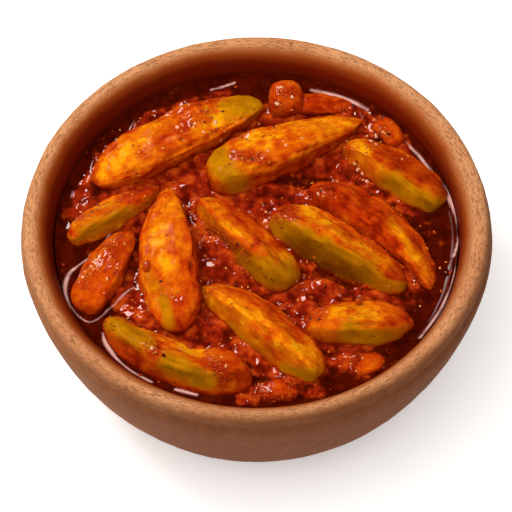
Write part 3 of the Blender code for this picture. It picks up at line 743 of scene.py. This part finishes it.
def even_rail(rail, spacing):
    """Points spaced evenly along a rail of (radius, height) points."""
    rail = np.array(rail, float)
    lengths = summed(step_lengths(rail))
    places = np.linspace(0.0, lengths[-1], max(2, round(lengths[-1] / spacing)) + 1)
    return np.stack([np.interp(places, lengths, rail[:, axis]) for axis in range(2)], axis=-1)


def softened(rail, rounds):
    """The rail with its corners eased."""
    for _ in range(rounds):
        rail[1:-1] = 0.25 * rail[:-2] + 0.5 * rail[1:-1] + 0.25 * rail[2:]
    return rail


def bowl_rail():
    """The bowl's outline from the middle of its inside, over the rim and down to its foot."""
    inside = [(inner_radius(h), h) for h in FLOOR + np.linspace(0.01, 1.0, 30) * (MOUTH_HEIGHT - FLOOR)]
    mouth = [(MOUTH_RADIUS, MOUTH_HEIGHT), (MOUTH_RADIUS, THROAT_HEIGHT)]
    throat = [(MOUTH_RADIUS + (RIM_RADIUS - MOUTH_RADIUS) * (1.0 - math.cos(t)),
               THROAT_HEIGHT + (RIM_HEIGHT - THROAT_HEIGHT) * math.sin(t))
              for t in np.radians(np.linspace(0.0, 90.0, 60))]
    rim = [(RIM_RADIUS + RIM_ROUND * math.cos(t), RIM_HEIGHT - RIM_ROUND * (1.0 - math.sin(t)))
           for t in np.radians(np.linspace(89.0, RIM_TO, 40))]
    outside = [(outer_radius(h), h) for h in np.linspace(49.9, 2.2, 90)]
    foot = [(FOOT_RADIUS + FOOT_EDGE, FOOT_EDGE), (FOOT_RADIUS - FOOT_EDGE, 0.0)]
    return np.concatenate([
        even_rail(inside, 2.4)[:-1], even_rail(mouth, 0.8)[:-1],
        softened(even_rail(throat + rim + outside[:14], 0.42), 3)[:-1], even_rail(outside[13:] + foot, 0.85)])


def clay_bowl():
    """The bowl, with its uneven clay and its masks: stained and soaked inside, both partly painted shade, and painted
    shade outside.
    """
    rail = bowl_rail()
    count = len(rail)
    lengths = summed(step_lengths(rail))
    past_crest = np.repeat(lengths - lengths[np.argmax(rail[:, 1])], BOWL_STEPS)
    angle = np.linspace(0.0, TURN, BOWL_STEPS, endpoint=False)
    round_way = np.tile(np.column_stack([np.cos(angle), np.sin(angle)]), (count, 1))
    radius, tall = np.repeat(rail, BOWL_STEPS, axis=0).T
    points = np.column_stack([round_way * radius[:, None], tall])
    faces = [face[::-1] for face in turned_faces(count, BOWL_STEPS)]
    faces.append(tuple(range(BOWL_STEPS)))
    faces.append(tuple(reversed(range((count - 1) * BOWL_STEPS, count * BOWL_STEPS))))
    piece = make_mesh("clay_bowl", points, faces)
    throw = value_noise(np.column_stack([round_way * 1.5, (tall + radius) / 1.3]), 3)
    lumps = layered(points, 9.0, 5)
    grain = layered(np.column_stack([round_way * 26, tall * 1.1]), 1.2, 9, 2)
    uneven = layered(np.column_stack([round_way * 60, tall * 0.8]), 16.0, 21)
    push = (0.05 * throw + 0.12 * lumps + 0.06 * grain - 0.24) * smooth(0.5, 4.0, tall)
    points = points + rows(piece.data.vertex_normals, "vector") * push[:, None]
    move_points(piece, points)
    reach = np.linalg.norm(points[:, :2], axis=1)
    inward = smooth(1.0, -0.6, past_crest + 0.4 * lumps) * smooth(5.0, 8.0, tall)
    # across is largest towards the key light, where the inner wall faces away from it; there the stain and soak reach
    # higher, partly as painted shade.
    across = round_way @ (-0.85, 0.53)
    stain = inward * smooth(65.9 + 1.1 * across, 61.9 + 0.7 * across, reach + 0.5 * uneven - 0.25 * (tall - 52.0))
    soak = smooth(53.6 + 1.0 * across, 48.6 + 2.0 * across, tall + 0.8 * uneven) * inward
    # The painted shade outside is strongest where facing is largest, on the front away from the key light.
    facing = round_way @ (0.42, -0.91)
    start = 0.4 - 2.8 * np.maximum(facing, 0.0)
    outer = smooth(0.0, 4.0, past_crest - start) * (0.48 + 0.52 * facing) + 0.15 * smooth(3.0, 6.0, past_crest)
    paint(piece, "paint", stain, soak, outer)
    return piece


# ---- the wedges

def girth_at(z, form):
    """How full a wedge is at a place from -1 to 1 along it."""
    tip = np.where(z > 0, form.tips[1], form.tips[0])
    return np.maximum(1.0 - np.abs(z) ** tip, 0.0) ** (1.0 / tip)


def squared(part, form):
    """The cosine or sine of a turn, drawn out to the wedge's squarish section."""
    return np.sign(part) * np.abs(part) ** (2.0 / form.edge)


def wedge_points(unit, form):
    """Where points of the unit sphere lie on a wedge (mm), and each one's place along, across and up it."""
    start, end = np.array(form.start), np.array(form.end)
    half = np.linalg.norm(end - start) / 2
    along = (end - start) / (2 * half)
    aside = np.cross((0.0, 0.0, 1.0), along)
    aside /= np.linalg.norm(aside)
    upward = np.cross(along, aside)
    x, y, z = unit.T
    flat = np.maximum(np.hypot(x, y), 1e-9)
    rise = squared(y / flat, form)
    across = squared(x / flat, form) * (1.0 - form.keel * (1.0 - rise) / 2)
    size = girth_at(z, form) * (1.0 + form.taper * z)
    middle = (start + end) / 2
    dent = np.array([0.7 * noise.noise(Vector((middle + spot * half) / 8.0)) for spot in unit])
    across = across * size * (form.width / 2 + dent)
    rise = rise * size * (form.thick / 2 + dent)
    lie = np.stack([z * half, across, rise], axis=-1)
    roll = math.radians(form.roll)
    across, rise = (across * math.cos(roll) + rise * math.sin(roll),
                    rise * math.cos(roll) - across * math.sin(roll))
    lean = np.arctan(-2.0 * form.bend * z / half)
    distance = z * half - across * np.sin(lean)
    sideways = form.bend * (1.0 - z**2) + across * np.cos(lean)
    points = middle + np.outer(distance, along) + np.outer(sideways, aside) + np.outer(rise, upward)
    return points, lie


def even_turns(count, form):
    """Angles round a wedge's section, evenly spaced along it but sparser on its hidden underside."""
    turn = np.linspace(0.0, TURN, 4001)
    x = squared(np.cos(turn), form) * form.width
    y = squared(np.sin(turn), form) * form.thick
    steps = np.hypot(np.diff(x), np.diff(y)) * np.where(y[1:] > -0.35 * form.thick, 1.0, 0.35)
    length = summed(steps)
    return np.interp(np.arange(count) / count * length[-1], length, turn)


def even_rings(count, form):
    """Polar angles along a wedge, evenly spaced along its outline."""
    turn = np.linspace(0.0, math.pi, 2001)
    z = -np.cos(turn)
    half = math.dist(form.start, form.end) / 2
    length = summed(np.hypot(np.diff(z) * half, np.diff(girth_at(z, form)) * form.width / 2))
    return np.interp(np.linspace(0.0, length[-1], count + 2)[1:-1], length, turn)


def wedge_mesh(name, form):
    steps = round(1.75 * (form.width + form.thick) / WEDGE_SPACING * 0.9)
    count = round((math.dist(form.start, form.end) + 0.6 * form.width) / WEDGE_SPACING)
    unit, faces = sphere(even_rings(count, form), even_turns(steps, form), -1)
    points, lie = wedge_points(unit, form)
    return make_mesh(name, points, faces), points, lie


def dress_wedge(name, form, surface):
    """A mango wedge with its dents and grains, and the masks of its paint."""
    piece, points, lie = wedge_mesh("flesh_" + name, form)
    normals = rows(piece.data.vertex_normals, "vector")
    spots = pixels(points)
    wander = layered(points, 3.0, 31)
    # Strokes reach only what the photo's camera sees; the rest keeps each side's plain looks.
    seen = smooth(0.0, 0.25, normals @ -FORWARD)
    top = smooth(0.55, 0.85, normals[:, 2])
    near = smooth(0.1, -0.25, normals[:, 1]) * (1.0 - top)
    sides = (top, near, 1.0 - top - near)
    cover = {kind: seen * covered(spots, wander, STROKES[name].get(kind, ()), soft)
             for kind, soft in SOFTNESS.items()}
    values = []
    for kind, shares in zip(("coat", "green", "bright"), zip(*PLAIN[name])):
        base = sum(side * share for side, share in zip(sides, shares))
        values.append(base + (1.0 - base) * cover[kind])
    coat, green, bright = values
    coat = coat * (1.0 - 0.85 * np.maximum(cover["green"], cover["bright"]) * (1.0 - cover["coat"]))
    # The wedge's long edges get a painted highlight, and its foot in the masala darkens,
    # partly from wet sauce and partly as painted shade.
    side = np.abs(lie[:, 1]) / (form.width / 2)
    ridge = np.exp(-((side - 0.86) / 0.16) ** 2) * smooth(0.2, 0.7, lie[:, 2] / form.thick * 2)
    bright = np.maximum(bright, 0.45 * ridge * smooth(0.7, 0.3, coat))
    half = math.dist(form.start, form.end) / 2
    above = points[:, 2] - LEVEL + 0.9 * wander
    green = green * (1.0 - 0.65 * smooth(2.2, 0.0, above))
    coated = 0.45 * smooth(0.35, 0.75, layered(points, 4.0, 41, 2)) * smooth(0.4, 0.9, coat)
    grainy = np.maximum(cover["grain"], coated)
    glaze = 0.40 + 0.30 * coat - 0.36 * bright + 0.16 * grainy + 0.06 * layered(points, 9.0, 35, 2)
    # Redder towards its long edges and tips; towards the masala, partly from climbing sauce and partly as painted
    # shade; where it faces down, as painted shade.
    glaze += 0.08 * smooth(0.60, 1.05, side) + 0.06 * smooth(0.70, 1.0, np.abs(lie[:, 0]) / half)
    glaze += 0.32 * smooth(2.6, 0.0, above) + 0.10 * smooth(0.35, -0.35, normals[:, 2])
    near_cell, _ = cells_near(points, 1.15, 71)
    push = (0.70 * layered(points, 11.0, 57, 2) + 0.36 * layered(points, 6.0, 55, 2)
            + 0.02 * layered(lie * (0.18, 1.0, 1.0), 2.2, 51, 2)
            + (0.05 + 0.12 * coat) * layered(points, 2.0, 81, 2) + grainy * (0.42 * (0.75 - near_cell)))
    points = points + normals * push[:, None]
    over = points[:, 2] > HIGHEST - 1.0
    points[over, 2] = HIGHEST - np.exp(-(points[over, 2] - (HIGHEST - 1.0)))
    move_points(piece, points)
    paint(piece, "paint", glaze, green, cover["dark"])
    paint(piece, "state", grainy, smooth(1.3, -0.4, above), 0.0)
    layer = piece.data.attributes.new(name="lie", type="FLOAT_VECTOR", domain="POINT")
    layer.data.foreach_set("vector", lie.astype(np.float32).ravel())
    piece.data.materials.append(surface)
    return piece


# ---- the masala bed

def disc_grid(count):
    """A square grid of points bent to a disc of radius 1, row after row."""
    side = np.linspace(-1.0, 1.0, count + 1)
    a, b = np.meshgrid(side, side, indexing="xy")
    wide = np.abs(a) > np.abs(b)
    radius = np.where(wide, a, b)
    safe = np.where(radius == 0.0, 1.0, radius)
    turn = np.where(wide, math.pi / 4 * b / safe, math.pi / 2 - math.pi / 4 * a / safe)
    return np.stack([radius * np.cos(turn), radius * np.sin(turn)], axis=-1).reshape(-1, 2)


def bed_surface(flat, tree):
    """Height of the masala at each (x, y), and its masks: heaped, orange and painted gleam."""
    count = len(flat)
    reach = np.linalg.norm(flat, axis=1)
    at_level = np.column_stack([flat, np.full(count, LEVEL + 0.8)])
    spots = pixels(at_level)
    wander = layered(at_level, 3.0, 91)
    # How far each place is from the nearest wedge, less than 0 inside it.
    away = np.full(count, 9.0)
    for index in range(count):
        place = Vector(at_level[index])
        close, normal, _, distance = tree.find_nearest(place, 4.0)
        if close is not None:
            away[index] = distance if (place - close).dot(normal) > 0 else -distance
    mound = np.full(count, -9.0)
    for x, y, length, breadth, tall, turn in CLUMPS:
        c, s = math.cos(math.radians(turn)), math.sin(math.radians(turn))
        dx, dy = flat[:, 0] - x, flat[:, 1] - y
        part = 1.0 - (2 * (dx * c + dy * s) / length) ** 2 - (2 * (dy * c - dx * s) / breadth) ** 2
        mound = np.maximum(mound, np.sqrt(np.maximum(part, 0.0)) * (tall + CLUMP_SINK) - CLUMP_SINK)
    # Heaps lie in the strokes, on the clumps and all over the middle; pools, the wall and the left stay oily.
    heap = np.maximum(covered(spots, wander, HEAPS), 0.9 * smooth(0.0, 0.6, mound))
    heap = np.maximum(heap, (0.62 + 0.25 * layered(at_level, 6.0, 101, 2)) * smooth(55.0, 46.0, reach))
    for pool in POOLS:
        heap *= 1.0 - covered(spots, wander, [pool])
    heap *= smooth(59.5, 55.5, reach + 1.2 * wander)
    heap *= 1.0 - 0.75 * smooth(-34.0, -46.0, flat[:, 0]) * smooth(14.0, 2.0, flat[:, 1])
    edge = (reach / MOUTH_RADIUS) ** 12
    ripple = np.array([RIPPLE * noise.noise(Vector((x / RIPPLE_SIZE, y / RIPPLE_SIZE, 0.0))) for x, y in flat])
    height = LEVEL + ripple * (1.0 - edge) + EDGE_RISE * edge
    lumps = layered(at_level, 4.0, 111)
    near_cell, cell_number = cells_near(at_level * (1, 1, 0.2), 1.5, 121)
    grain = heap * (0.32 * (0.70 - near_cell) * cell_number**2 + 0.11 * layered(at_level, 1.8, 131, 2))
    body = np.maximum(height + heap * (0.25 + 0.60 * lumps) + grain,
                      height + mound * 0.9 + grain + 0.25 * lumps * heap)
    # The masala climbs the wedges and the wall.
    body += smooth(2.2, 0.0, np.maximum(away, 0.0)) * (0.3 + 0.7 * heap) * (0.6 + 0.8 * lumps)
    # Right beside the wedges, off the clumps, the heap mask thins to darker oil: painted shade where the wedges meet
    # the masala.
    heap *= 1.0 - 0.25 * smooth(1.8, 0.3, away) * smooth(0.9, 0.4, np.maximum(mound, 0.0))
    clinging = smooth(3.0, 0.2, away) * (0.90 + 0.5 * layered(at_level, 5.0, 161, 2))
    orange = np.maximum(covered(spots, wander, ORANGE), 0.90 * clinging * smooth(0.05, 0.40, heap))
    wall = MOUTH_RADIUS - WALL_GAP - reach
    body += 1.3 * np.exp(-np.maximum(wall, 0.0) / 0.9) * (1.0 - 0.6 * heap)
    gleam = np.max([ribbon(spots, knots) for knots in GLEAMS], axis=0)
    gleam *= 0.55 + 0.45 * smooth(-0.5, 0.1, layered(at_level, 2.4, 171, 2))
    return body, heap, orange, gleam


def masala_bed(tree, surface):
    """The masala, from its surface down along the bowl's inner wall."""
    flat = disc_grid(BED_CELLS) * (MOUTH_RADIUS - WALL_GAP)
    height, *masks = bed_surface(flat, tree)
    points = np.column_stack([flat, height])
    row = BED_CELLS + 1
    faces = [(base, base + 1, base + row + 1, base + row)
             for j in range(BED_CELLS) for base in range(j * row, j * row + BED_CELLS)]
    last = ([*range(row)] + [j * row + row - 1 for j in range(1, row)]
            + [row * row - 1 - i for i in range(1, row)] + [(row - 1 - j) * row for j in range(1, row - 1)])
    count = len(last)
    ring = flat[last] / np.linalg.norm(flat[last], axis=1, keepdims=True)
    for low in (40.0, 30.0, 20.0, 12.0, 8.5):
        fresh = list(range(len(points), len(points) + count))
        below = np.column_stack([ring * (inner_radius(low) - 0.4), np.full(count, low + 0.4)])
        points = np.concatenate([points, below])
        faces += [(last[k], fresh[k], fresh[(k + 1) % count], last[(k + 1) % count]) for k in range(count)]
        last = fresh
    faces.append(tuple(reversed(last)))
    piece = make_mesh("masala_bed", points, faces)
    plain = np.zeros(len(points) - len(flat))
    paint(piece, "paint", *(np.concatenate([mask, plain]) for mask in masks))
    piece.data.materials.append(surface)
    return piece


# ---- grains, beads and specks

def scattered(name, spots, surface, rough=0.3, segments=7, bands=5):
    """One mesh of many lumps: each has a centre, an outward and a long direction, three half sizes and a tint."""
    unit, faces = sphere(np.linspace(0.0, math.pi, bands + 1)[1:-1],
                         np.linspace(0.0, TURN, segments, endpoint=False), 1)
    draw = np.random.default_rng(SEED)
    all_points, all_faces, tints = [], [], []
    for centre, outward, along, sizes, tint in spots:
        outward = Vector(outward).normalized()
        turn = draw.uniform(0.0, TURN)
        if along is None:
            side = Matrix.Rotation(turn, 3, outward) @ outward.orthogonal().normalized()
        else:
            side = Vector(along) - Vector(along).dot(outward) * outward
            side = Matrix.Rotation(0.12 * (turn - math.pi), 3, outward) @ side.normalized()
        basis = np.array([side, outward.cross(side), outward])
        shaped = unit * (1.0 + rough * draw.uniform(-1.0, 1.0, (len(unit), 1)))
        offset = len(all_points) * len(unit)
        all_points.append(np.asarray(centre) + (shaped * sizes) @ basis)
        all_faces += [tuple(v + offset for v in face) for face in faces]
        tints.append(np.full(len(unit), tint))
    piece = make_mesh(name, np.concatenate(all_points), all_faces)
    paint(piece, "paint", 1.0, np.concatenate(tints), 0.0)
    piece.data.materials.append(surface)
    return piece


def surface_at(start, way, bed_tree, flesh_tree):
    """The first surface a ray meets: its place, its normal and, on a wedge, that wedge's number."""
    bed = bed_tree.ray_cast(start, way)
    flesh, faces_before = flesh_tree
    wedge = flesh.ray_cast(start, way)
    if wedge[0] is not None and (bed[0] is None or wedge[3] < bed[3]):
        return wedge[0], wedge[1], int(np.searchsorted(faces_before, wedge[2], side="right")) - 1
    return bed[0], bed[1], None


def grains(bed_tree, flesh_tree, ways, surface):
    """Grains of masala strewn over the heaps and coated flesh, dark flecks along the wedges, and pale spots."""
    draw = np.random.default_rng(SEED)
    reach = (MOUTH_RADIUS - 1.0) * np.sqrt(draw.random(PLACES_TRIED))
    turn = draw.uniform(0.0, TURN, PLACES_TRIED)
    flat = np.column_stack([reach * np.cos(turn), reach * np.sin(turn)])
    chance, size, hue, kind = draw.random((4, PLACES_TRIED))
    level = np.column_stack([flat, np.full(PLACES_TRIED, LEVEL + 1.5)])
    wander = layered(level, 3.0, 141)
    flecked = smooth(-0.3, 0.6, layered(level, 6.0, 151, 2))
    heap = covered(pixels(level), wander, HEAPS)
    sparkling = [shape for strokes in STROKES.values() for shape in strokes.get("grain", ())]
    found = []
    for index in range(PLACES_TRIED):
        high = Vector((*flat[index], RIM_HEIGHT + 6.0))
        spot, normal, owner = surface_at(high, Vector((0.0, 0.0, -1.0)), bed_tree, flesh_tree)
        if spot is None or spot.z > HIGHEST - 0.5:
            continue
        on_wedge = owner is not None
        if on_wedge and kind[index] < FLECK_CHANCE * flecked[index] and normal.z > 0.25:
            sizes = (0.15 + 1.0 * hue[index] ** 2, 0.07 + 0.07 * size[index], 0.05)
            found.append((spot, normal, ways[owner], sizes, 0.06 + 0.14 * size[index]))
            continue
        density = 0.010 + 0.05 * heap[index]
        if on_wedge:
            shine = covered(pixels(np.array([spot])), wander[index:index + 1], sparkling)[0]
            density = max(0.006, 0.30 * shine, 0.10 if spot.z < LEVEL + 2.0 else 0.0)
        if chance[index] > density:
            continue
        half = 0.18 + 0.42 * size[index] ** 3.0
        tint = 0.08 if hue[index] > 0.94 else 0.26 + 0.34 * hue[index] + 0.08 * on_wedge
        found.append((np.array(spot) - np.array(normal) * half * 0.25, normal, None,
                      (half * 1.25, half, half * 0.7), tint))
    # Pale spots: pale seeds, and painted glints.
    for x, y, radius in PALE:
        spot, normal, _ = surface_at(Vector(STAND), Vector(sight(x, y)), bed_tree, flesh_tree)
        if spot is None:
            continue
        half = PALE_SIZE * radius
        for part in range(3):
            shift = draw.uniform(-0.55, 0.55, 3) * half * (part > 0)
            shrink = 1.0 if part == 0 else draw.uniform(0.35, 0.6)
            found.append((np.array(spot) + shift - 0.1 * half * np.array(normal), normal, None,
                          np.array((half * 1.2, half * 0.85, half * 0.4)) * shrink,
                          draw.uniform(0.72, 0.86) + 0.12 * (radius > 2.1)))
    return scattered("masala_crumbs", found, surface)


def beads(surface):
    found = []
    for listed in BEADS.values():
        for x, y, z, radius, stretch in listed:
            found.append(((x, y, z - 0.2), (0.0, 0.0, 1.0), (0.15, 1.0, 0.0),
                          np.array((0.72 * stretch, 0.66, 0.66)) * radius, 0.47))
    return scattered("masala_beads", found, surface, 0.06, 28, 20)


# ---- floor, light and camera

def studio():
    """A white floor, a dim surrounding light, two lamps that light it all and one that only shows in gloss."""
    scene = bpy.context.scene
    scene.view_settings.view_transform = "Standard"
    scene.view_settings.look = "None"
    corners = [(x * FLOOR_SIDE / 2, y * FLOOR_SIDE / 2, 0.0) for x, y in ((-1, -1), (1, -1), (1, 1), (-1, 1))]
    floor = make_mesh("floor", corners, [(0, 1, 2, 3)])
    made, _, shader = new_material("floor_white")
    fill(shader, {
        "Base Color": (0.97, 0.97, 0.97), "Roughness": 0.9, "Specular IOR Level": 0.0,
        "Emission Color": (1.0, 0.995, 0.99), "Emission Strength": 0.38})
    floor.data.materials.append(made)
    world = bpy.data.worlds.new("studio")
    scene.world = world
    world.use_nodes = True
    fill(world.node_tree.nodes["Background"], {"Color": (1.0, 0.98, 0.96), "Strength": 0.11})
    world.cycles_visibility.glossy = False
    lights = (
        ("top_light", (-0.14, -0.30, 1.20), 1.3, 15.4, (1.0, 0.985, 0.965), False),
        ("key_light", (-0.52, 0.34, 0.74), 0.35, 4.2, (1.0, 0.965, 0.92), False),
        ("window_light", (-0.36, 0.60, 0.66), 0.30, 5.2, (1.0, 0.80, 0.74), True),
    )
    for name, place, size, power, colour, shines in lights:
        light = bpy.data.lights.new(name, "AREA")
        light.shape = "RECTANGLE"
        light.size = light.size_y = size
        light.energy = power
        light.color = colour
        lamp = placed(name, light, place, (0.0, 0.0, 0.04))
        lamp.visible_glossy = shines
        lamp.visible_diffuse = not shines


def placed(name, data, place, aim):
    """A lamp or a camera at a place, turned towards what it looks at."""
    made = bpy.data.objects.new(name, data)
    bpy.context.scene.collection.objects.link(made)
    made.location = place
    made.rotation_euler = (Vector(aim) - Vector(place)).to_track_quat("-Z", "Y").to_euler()
    return made


def camera():
    data = bpy.data.cameras.new("camera")
    data.sensor_width = SENSOR
    data.lens = FOCAL * SENSOR / PICTURE
    data.clip_start = 0.01
    bpy.context.scene.camera = placed("camera", data, CAMERA_AT, CAMERA_AIM)


def settle(piece, stands_for=None):
    """Attaches a piece to the root body and hides the model's part that it stands for."""
    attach(piece, "root")
    if stands_for is not None:
        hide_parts(stands_for)


def main():
    camera()
    studio()
    slots = {part["node"]: part["material_slot"] for part in frame["record"]["subparts"]}
    bowl = clay_bowl()
    bowl.data.materials.append(clay_material())
    settle(bowl, "bowl")
    mango, masala, spice = mango_material(), masala_material(), spice_material()
    wedges = []
    for name, form in WEDGES.items():
        piece = dress_wedge(name, form, mango)
        settle(piece, name if name in slots else None)
        wedges.append(piece)
    flesh_tree = search_tree(wedges)
    bed = masala_bed(flesh_tree[0], masala)
    settle(bed, "gravy")
    ways = [Vector(form.end) - Vector(form.start) for form in WEDGES.values()]
    settle(grains(search_tree([bed])[0], flesh_tree, ways, spice))
    settle(beads(spice))


main()
